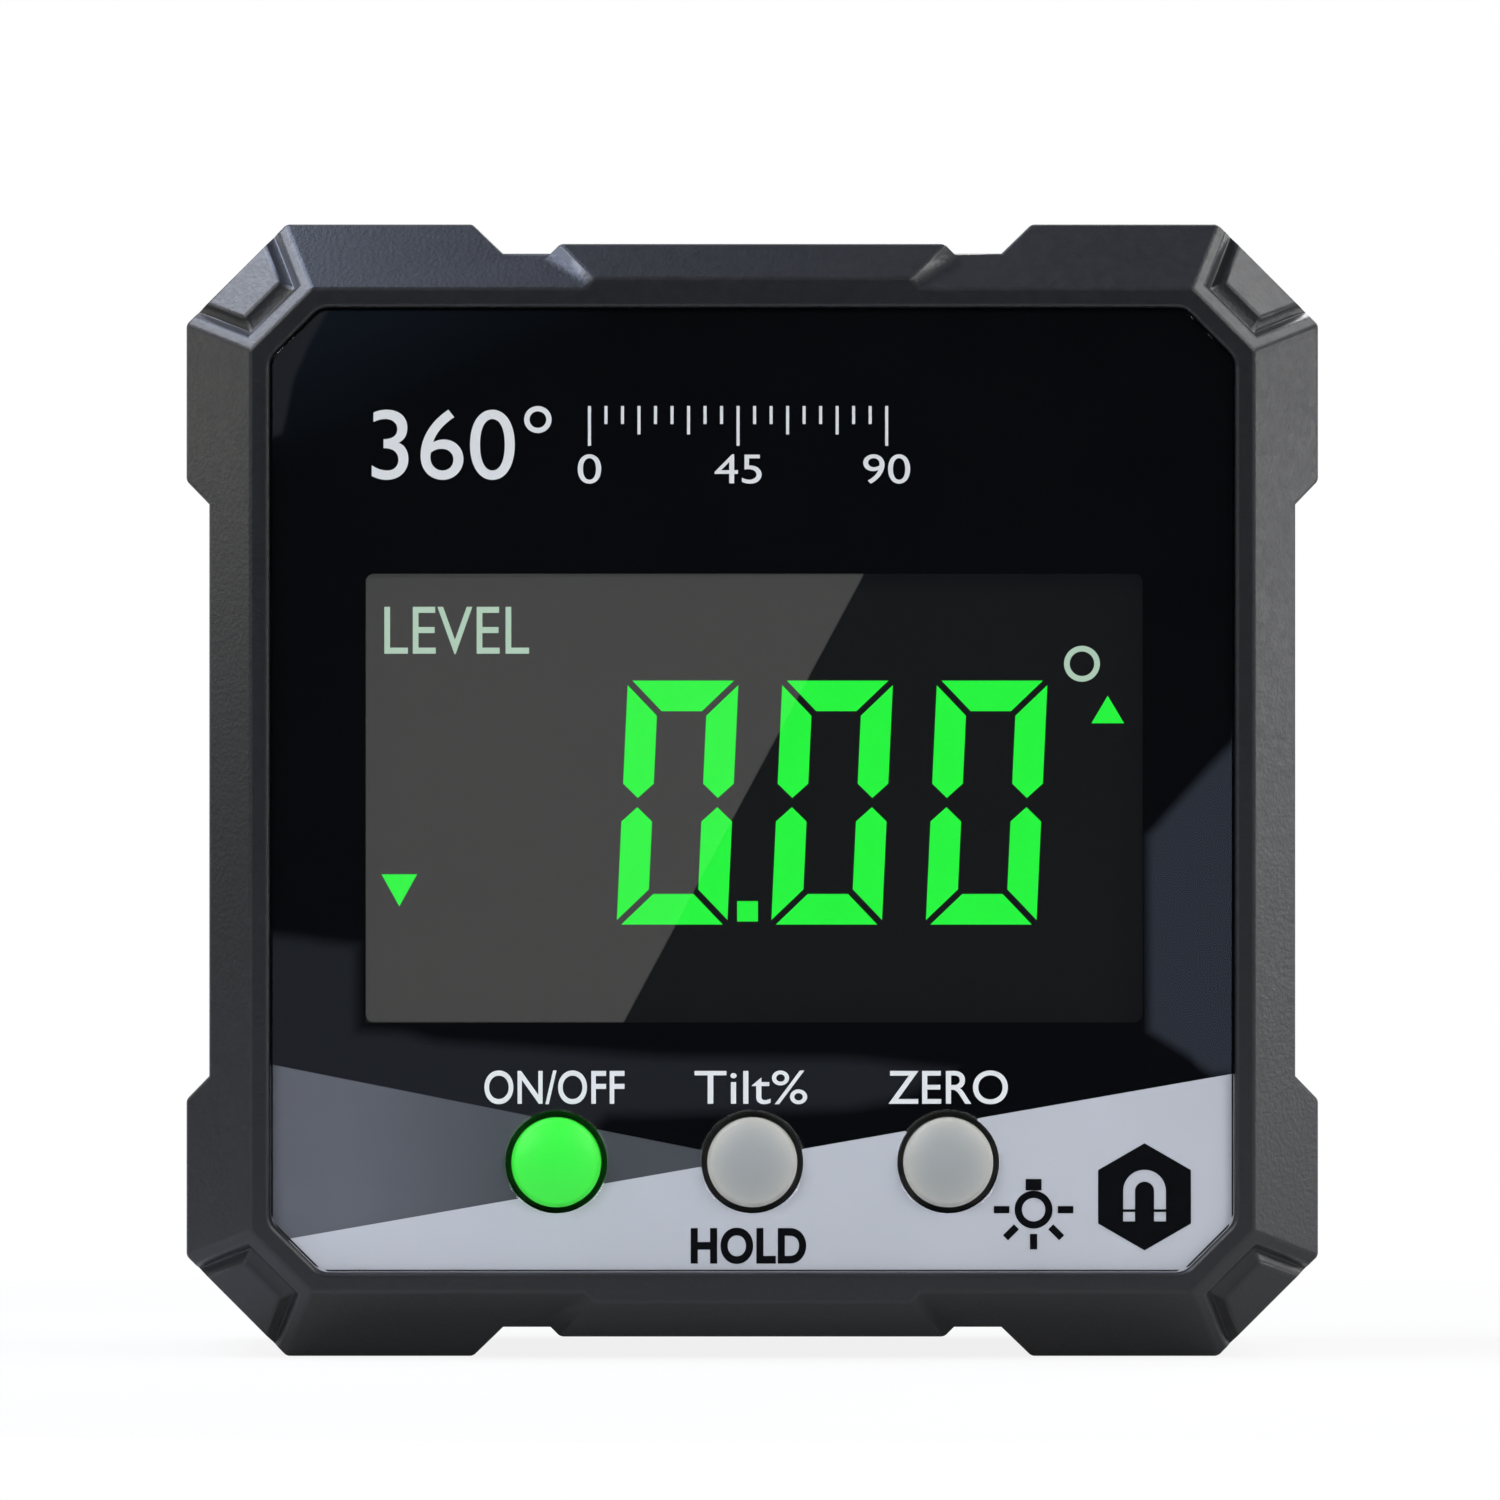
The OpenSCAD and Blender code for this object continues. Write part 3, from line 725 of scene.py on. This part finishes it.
lit_green = lit_film("lit_green", 0.96, paint(12, 60, 20), paint(25, 248, 54), paint(31, 254, 60),
                     size=2.5, detail=1)
pale_green = lit_film("pale_green", 0.85, paint(30, 60, 36), paint(184, 212, 192),
                      paint(194, 220, 201), size=1.5)
print("display finishes", dark_glass.material.name, lit_green.material.name, pale_green.material.name)

# %% [markdown]
# A reading of zero is shown: lit bars with mitred ends, seven to a digit with the middle one off,
# leaning slightly to the right. The bars are thin films on the glass that give off light. The upper
# half of a digit is drawn, and the lower half is its mirror image.

# %% Reading on the display
SIGN_DEPTH = display_front - 0.012
BAR, GAP, TIP = 1.62, 0.24, 0.76
DIGIT_W, DIGIT_H, LEAN = 5.85, 12.9, 0.046
DIGIT_LOW, DIGIT_LEFT, DIGIT_PITCH = 22.9, -7.17, 8.17
POINT_BOX, LEVEL_BOX = (-0.8, 0.3, 23.06, 24.14), (-19.45, -11.8, 37.2, 39.7)
UP_ARROW = [(17.93, 33.54), (19.66, 33.54), (18.79, 35.0)]
DOWN_ARROW = [(-19.6, 25.56), (-18.66, 23.86), (-17.72, 25.56)]
DEGREE_X, DEGREE_Z, DEGREE_OUT, DEGREE_IN = 17.43, 36.69, 0.95, 0.65


def digit(left):
    """The six lit bars of a nought, as outlines."""
    top, waist, right = DIGIT_H, DIGIT_H / 2, DIGIT_W
    head = [(GAP, top), (right - GAP, top), (right - BAR - GAP, top - BAR), (BAR + GAP, top - BAR)]
    post = [(0, top - GAP), (BAR, top - BAR - GAP), (BAR, waist + GAP + TIP),
            (BAR / 2, waist + GAP), (0, waist + GAP + TIP)]
    upper = [head, post, [(right - x, z) for x, z in post]]
    lower = [[(x, DIGIT_H - z) for x, z in outline] for outline in upper]
    return [[(left + x + LEAN * z, DIGIT_LOW + z) for x, z in outline] for outline in upper + lower]


reading = [outline for k in range(3) for outline in digit(DIGIT_LEFT + k * DIGIT_PITCH)]
reading += [rectangle(*POINT_BOX), UP_ARROW, DOWN_ARROW]
print_film("display_reading", [flat(reading)], SIGN_DEPTH, lit_green)
degree = [round_outline(DEGREE_X, DEGREE_Z, radius, 40) for radius in (DEGREE_OUT, DEGREE_IN)]
print_film("display_signs", [words("LEVEL", *LEVEL_BOX), flat(degree)],
           SIGN_DEPTH, pale_green)

# %% [markdown]
# The keys are silicone caps, one green and two grey. Silicone lets a little light through, so a key
# looks lighter at its thinner rim, and that light is painted into the colour, lighter towards the
# rim.
# The three keys stand a pitch apart, so one pattern repeated at that pitch fits them all.

# %% Key rubber
def key_rubber(name, crown, rim):
    """Silicone whose colour drifts from the crown to the thinner rim of the key. The lighter rim is
    painted light, for light that shines through the thin silicone.
    """
    silicone = Finish(name)
    sideways = (silicone.place(0) + 1.5 * KEY_PITCH).math("MODULO", KEY_PITCH) - KEY_PITCH / 2
    up = silicone.place(2) - KEY_Z
    outward = (sideways * sideways + up * up) * (1 / KEY_R ** 2)
    share = (outward * outward).clamp() * (0.8 + 0.2 * silicone.noise(0.6))
    # Painted light: the lighter rim colour stands in for light that shines through the thin silicone.
    silicone.set("Base Color", silicone.blend(share, crown, rim))
    silicone.set("Roughness", 0.42 + 0.1 * silicone.noise(0.3))
    silicone.grain(size=0.12, height=0.004, strength=0.4)
    return silicone


# The rim colours are painted light, lighter than the crowns where the silicone is thin.
green_key = key_rubber("green_key", paint(50, 244, 64), paint(60, 246, 62))
grey_key = key_rubber("grey_key", paint(155, 159, 160), paint(190, 188, 180))
print("key finishes", green_key.material.name, grey_key.material.name)

# %% [markdown]
# Each key has a low dome, a straight wall, a flange that stops it behind the panel and a stem that
# meets its switch. Its half outline is spun once round the key's axis. The dome itself is a point
# swung about the middle of its sphere. Last, the edge of the dome is bevelled.

# %% Keys
DOME, FLANGE_R, FLANGE_DEPTH, FLANGE_T, STEM_R, SOFT_EDGE = 0.55, 3.295, 3.2, 0.6, 1.2, 0.3
DOME_STEPS, ROUND_STEPS, EDGE_STEPS = 10, 96, 5
EDGE_ANGLE, EDGE_DEPTH = math.radians(40), 1
dome_r = (KEY_R ** 2 + DOME ** 2) / (2 * DOME)


def key_cap(x, crown, stem_end):
    """A key around the axis at x, from its crown to the end of its stem, all in millimetres."""
    cap = bmesh.new()
    axis = Vector((x, 0, KEY_Z))
    top = cap.verts.new((x, crown, KEY_Z))
    arc = bmesh.ops.spin(cap, geom=[top], cent=axis + Vector((0, crown + dome_r, 0)),
                         axis=(0, 0, 1), angle=math.asin(KEY_R / dome_r), steps=DOME_STEPS)
    last = next(v for v in arc["geom_last"] if isinstance(v, bmesh.types.BMVert))
    flange = rim_y + FLANGE_DEPTH
    for radius, y in ((KEY_R, flange), (FLANGE_R, flange), (FLANGE_R, flange + FLANGE_T),
                      (STEM_R, flange + FLANGE_T), (STEM_R, stem_end), (0, stem_end)):
        corner = cap.verts.new((x + radius, y, KEY_Z))
        cap.edges.new((last, corner))
        last = corner
    bmesh.ops.spin(cap, geom=cap.verts[:] + cap.edges[:], cent=axis, axis=(0, 1, 0),
                   angle=math.radians(360), steps=ROUND_STEPS, use_merge=True)
    bmesh.ops.remove_doubles(cap, verts=cap.verts, dist=DRAWN_WELD)
    bmesh.ops.recalc_face_normals(cap, faces=cap.faces)
    rim = [e for e in cap.edges if e.calc_face_angle(0) > EDGE_ANGLE
           and all(v.co.y < rim_y + EDGE_DEPTH for v in e.verts)]
    bmesh.ops.bevel(cap, geom=rim, offset=SOFT_EDGE, offset_type="OFFSET", segments=EDGE_STEPS,
                    profile=0.5, affect="EDGES", material=-1)
    bmesh.ops.scale(cap, vec=(MM, MM, MM), verts=cap.verts)
    return cap


for name, x in key_x.items():
    node = name + "_key"
    box_low, box_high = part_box(node)
    finish, slot = (green_key, "green_key") if name == "on_off" else (grey_key, "grey_key")
    piece = new_piece(name + "_cap", key_cap(x, box_low.y / MM, box_high.y / MM), finish,
                      nodes[node]["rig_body"])
    smooth_faces(piece)
    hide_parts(node)
    print(piece.name, "has", len(piece.data.polygons), "faces")

# %% [markdown]
# The rest is seen through the battery door, in the screw wells and under the base, or not at all
# until the case is opened. These solids keep their CAD shapes and get the finish of what they are.
# The metal ones come first: screws, battery contacts and magnets. Fine noise that is stretched one
# way varies their roughness, as the marks of rolling and turning do.

# %% Metal fittings
bright_steel = Finish("bright_steel", Metallic=1.0)
bright_steel.mottle(paint(176, 178, 182), paint(200, 202, 205), size=1.2, detail=4)
bright_steel.set("Roughness", 0.22 + 0.16 * bright_steel.noise(0.2, 3, (1, 6, 1)))
dress(bright_steel, "case_screws", "board_screws")

plated_contact = Finish("plated_contact", Metallic=1.0)
plated_contact.mottle(paint(196, 192, 182), paint(214, 210, 200), size=2)
plated_contact.set("Roughness", 0.26 + 0.12 * plated_contact.noise(0.3, 3, (1, 1, 5)))
dress(plated_contact, "positive_contact", "negative_contact", "bridge_contact")

nickel = Finish("nickel", Metallic=1.0)
nickel.mottle(paint(186, 188, 192), paint(202, 203, 206), size=2.5)
nickel.set("Roughness", 0.2 + 0.14 * nickel.noise(0.25, 3, (1, 5, 1)))
dress(nickel, "base_magnets")
print("metal fittings dressed")

# %% [markdown]
# The seal is dull black rubber. The connector of the display is silicone in thin layers, one that
# conducts after one that doesn't, which show as stripes. The light guide is milky plastic, and its
# lamps glow faintly green.

# %% Rubber and light guide
LAYER = 0.1

rubber = Finish("rubber", Roughness=0.8)
rubber.mottle(paint(22, 22, 23), paint(30, 30, 32), size=0.6)
rubber.grain(size=0.15, height=0.01)
dress(rubber, "case_seal")

zebra = Finish("zebra", Roughness=0.6)
layers = zebra.place(0).math("MODULO", 2 * LAYER).math("ABSOLUTE") > LAYER
zebra.set("Base Color", zebra.blend(layers, paint(34, 34, 35), paint(166, 168, 168)))
dress(zebra, "zebra_strip")

milky = Finish("milky", Transmission_Weight=0.15, Roughness=0.35)
milky.mottle(paint(226, 232, 226), paint(240, 244, 240), size=4)
dress(milky, "backlight_guide")

lamp_lens = Finish("lamp_lens", Roughness=0.2, Emission_Strength=0.5)
lamp_lens.mottle(paint(222, 240, 222), paint(240, 250, 240), size=0.5)
lamp_lens.set("Emission Color", paint(120, 255, 140))
dress(lamp_lens, "backlight_leds")
print("rubber and light guide dressed")

# %% [markdown]
# The board is green, with lighter lines where copper runs under its lacquer: the joints of a brick
# pattern give such lines. The chips are moulded in dull black, and the switches have white plungers.

# %% Board and its parts
board = Finish("board", Roughness=0.35)
runs = board.node("TexBrick", {"offset": 0.5}, {
    "Vector": board.node("TexCoord").outputs["Object"], "Scale": 1 / MM, "Mortar Size": 0.12,
    "Brick Width": 3.2, "Row Height": 0.7, "Color1": paint(26, 84, 52), "Color2": paint(30, 92, 58),
    "Mortar": paint(44, 118, 76)})
board.set("Base Color", runs.outputs["Color"])
dress(board, "circuit_board")

chip_black = Finish("chip_black", Roughness=0.55)
chip_black.mottle(paint(24, 25, 27), paint(34, 35, 37), size=0.4, detail=4)
chip_black.grain(size=0.1, height=0.006)
dress(chip_black, "controller_chip", "angle_sensor")

switch_black = Finish("switch_black", Roughness=0.4)
switch_black.mottle(paint(36, 37, 39), paint(46, 47, 49), size=0.8)
dress(switch_black, "on_off_switch", "hold_switch", "zero_switch")
plunger_white = Finish("plunger_white", Roughness=0.4)
plunger_white.mottle(paint(208, 208, 202), paint(220, 220, 214), size=0.6)
dress(plunger_white, "on_off_plunger", "hold_plunger", "zero_plunger")
print("board and its parts dressed")

# %% [markdown]
# A cell is a steel can in a printed plastic jacket. The jacket stops short of both ends, where the
# bare can and the contact button show, so the metal is a matter of place along the cell. The two
# cells lie head to tail, and each jacket has a lighter ring at its button end.

# %% Cells
BUTTON_TO_FOOT = {"upper_cell": 1, "lower_cell": -1}
JACKET_END, RING, BARE_FOOT = 1.3, 8.0, 0.55

for node, way in BUTTON_TO_FOOT.items():
    button = (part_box(node)[0] if way > 0 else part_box(node)[1]).x / MM
    length = (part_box(node)[1].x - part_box(node)[0].x) / MM
    cell = Finish(node + "_jacket")
    along = (cell.place(0) - button) * way
    bare = (along < JACKET_END).math("MAXIMUM", along > length - BARE_FOOT)
    jacket = cell.blend(along < RING, paint(46, 58, 68), paint(168, 174, 178))
    jacket = cell.blend(0.25 * cell.noise(3), jacket, paint(120, 128, 134))
    cell.set("Base Color", cell.blend(bare, jacket, paint(196, 198, 200)))
    cell.set("Metallic", bare)
    cell.set("Roughness", 0.28 + 0.1 * cell.noise(1.5))
    dress(cell, node)
    print(node, "button at x", round(button, 2), "length", round(length, 2))

# %% [markdown]
# The floor is a pale disc just large enough for the object's shadow. The camera and glass see it as
# nearly pure white that still darkens in the shadow. All other rays meet a plain pale card.

# %% Floor
FLOOR_R, FLOOR_GAP, FLOOR_STEPS = 110, 0.02, 96
WHITE, WHITE_SHARE = (1, 1, 1, 1), 0.86

floor_white = Finish("floor_white", Roughness=0.9, Specular_IOR_Level=0.2)
floor_white.mottle((0.61, 0.61, 0.61, 1), (0.63, 0.63, 0.63, 1), size=40)
seen = floor_white.rays("Is Camera Ray", "Is Transmission Ray")
floor_white.overlay(seen * WHITE_SHARE,
                    floor_white.node("Emission", inputs={"Color": WHITE, "Strength": 1.0}))

disc = bmesh.new()
bmesh.ops.create_circle(disc, cap_ends=True, segments=FLOOR_STEPS, radius=FLOOR_R * MM,
                        matrix=Matrix.Translation((0, 0, -FLOOR_GAP * MM)))
floor_mesh = bpy.data.meshes.new("floor")
disc.to_mesh(floor_mesh)
disc.free()
floor_mesh.materials.append(floor_white.material)
floor = bpy.data.objects.new("floor", floor_mesh)
scene.collection.objects.link(floor)
print("floor is", 2 * FLOOR_R, "mm wide")

# %% [markdown]
# The world is white to the camera. Reflections and glass see white in it too, but only behind the
# object: in front it is dim, or the black panel would turn grey.

# %% World
BEHIND = 0.55
DIM = (0.03, 0.036, 0.045, 1)

world = bpy.data.worlds.new("studio")
world.use_nodes = True
scene.world = world
room = Shading(world.node_tree)
heading = room.part(room.node("TexCoord").outputs["Generated"], 1)
mirrored = room.rays("Is Glossy Ray", "Is Transmission Ray") * (heading > BEHIND)
white = room.rays("Is Camera Ray").math("MAXIMUM", mirrored)
background = world.node_tree.nodes["Background"]
room.feed(background.inputs["Color"], room.blend(white, DIM, WHITE))
print("world ready")

# %% [markdown]
# The sloped facets of the bezel act as dull mirrors. Seen from the front, each shows what stands
# straight beside it, so every side and both upper corners get a softbox. The one on the right is the
# brightest, the one on the left is small and warm, and the one on top is cool. The two at the sides
# are low strips that don't reach the top. Two front lamps off to the sides light the print, and one
# behind lights the back. The number after a softbox's size is its brightness as seen, not its power.

# %% Softboxes
WARM, COOL = (1.03, 1, 0.88), (0.76, 0.88, 1.2)


def softbox(name, at, wide, tall, brightness, tint=(1, 1, 1)):
    """A lamp of a place and size in millimetres that faces the middle of the gauge."""
    light = bpy.data.lights.new(name, "AREA")
    light.shape, light.size, light.size_y = "RECTANGLE", wide * MM, tall * MM
    light.energy = math.pi * wide * tall * MM ** 2 * brightness
    light.color = tint
    holder = bpy.data.objects.new(name, light)
    holder.location = Vector(at) * MM
    aim = Vector((0, 0, middle_z)) * MM - holder.location
    holder.rotation_euler = aim.to_track_quat("-Z", "Y").to_euler()
    holder.visible_camera = False
    scene.collection.objects.link(holder)
    return round(light.energy, 3)


powers = [softbox("front_left", (-560, -520, 420), 300, 300, 11.5),
          softbox("front_right", (560, -520, 420), 300, 300, 11.5),
          softbox("upper_left", (-330, 0, 370), 220, 220, 7.6),
          softbox("upper_right", (330, 0, 370), 220, 220, 8),
          softbox("right", (270, 0, 46), 120, 26, 18.5),
          softbox("left", (-130, 0, 54), 64, 12, 6, WARM),
          softbox("top", (-70, 0, 150), 70, 70, 8.7, COOL),
          softbox("back", (260, 620, 420), 360, 360, 6)]
print("softboxes in watts", powers)

# %% [markdown]
# The glass shows a sharp slanted glare on the left of the display, the mirror image of a white card
# beside the camera. The card's outline is the glare's outline on the panel, carried on from the
# mirrored camera to the card's own distance. Four dim cards give the faint sheen on the black
# field: along the foot of the panel, on its right, in a corner and, farther off, over its head.
# Only reflections see the cards. An inset makes a border on each card, over which it fades out.

# %% Glare cards
CARD_Y, FAR_CARD_Y = -860, -870
window_left, _, window_low, window_high = WINDOW
GLARE = [(window_left, window_low), (-6.78, window_low), (5.94, window_high),
         (window_left, window_high)]
RIGHT_SHEEN = [(26.4, 33.8), (20.7, 27.6), (20.7, 17), (24.3, 14.7), (26.4, 14.7)]
LEFT_SHEEN = [(-26.4, 22.8), (-20.5, 22.2), (-20.5, 17.7), (-18.4, 17.6), (-16.6, 17.1),
              (-4.9, 16.3), (5.2, 16.2), (11.4, 15.5), (7.8, 13.3), (5.2, 12.8), (-4.9, 12.5),
              (-7.5, 12.5), (-12.5, 8), (-26.4, 5.6)]
CORNER_SHEEN = [(-25.8, 48.2), (-24.75, 48.8), (-24.5, 49.8), (-24.1, 51.8), (-23.2, 53.9),
                (-22.2, 55.7), (-24.6, 55.5), (-26.1, 53.6)]
HEAD_SHEEN = [(-36, 66), (-36, 42), (-6, 56), (6, 66)]


def glare_card(name, outline, soft, brightness, tint=WHITE, card_y=CARD_Y):
    """A card that only reflections see, placed so that the panel mirrors it into an outline."""
    mirror_y = rim_y + panel_front
    mirrored_camera_y = 2 * mirror_y - camera_y
    reach = (card_y - mirrored_camera_y) / (mirror_y - mirrored_camera_y)
    sheet = bmesh.new()
    corners = [sheet.verts.new(Vector((VIEW_X + (x - VIEW_X) * reach, card_y,
                                       VIEW_Z + (z - VIEW_Z) * reach)) * MM) for x, z in outline]
    middle = sheet.faces.new(corners)
    middle.normal_update()
    bmesh.ops.inset_region(sheet, faces=[middle], thickness=soft * reach * MM, use_boundary=True,
                           use_even_offset=True)
    shine = sheet.verts.layers.float.new("shine")
    for corner in middle.verts:
        corner[shine] = 1
    mesh = bpy.data.meshes.new(name)
    sheet.to_mesh(mesh)
    sheet.free()
    glow = Finish(name)
    share = glow.node("Attribute", {"attribute_name": "shine"}).outputs["Fac"]
    glow.overlay(share, glow.node("Emission", inputs={"Color": tint, "Strength": brightness}),
                 under=glow.node("BsdfTransparent"))
    mesh.materials.append(glow.material)
    card = bpy.data.objects.new(name, mesh)
    scene.collection.objects.link(card)
    card.visible_camera = card.visible_diffuse = card.visible_shadow = False


glare_card("display_glare", GLARE, 0.05, 0.3)
glare_card("right_sheen", RIGHT_SHEEN, 0.6, 0.76, (0.78, 0.94, 1.31, 1))
glare_card("left_sheen", LEFT_SHEEN, 0.8, 0.36, (0.9, 1.01, 1.29, 1))
glare_card("corner_sheen", CORNER_SHEEN, 0.25, 0.4, (0.8, 0.9, 1.1, 1))
glare_card("head_sheen", HEAD_SHEEN, 6, 0.17, (0.62, 0.95, 1.5, 1), FAR_CARD_Y)
print("glare cards at y", CARD_Y, "and", FAR_CARD_Y, "mm")
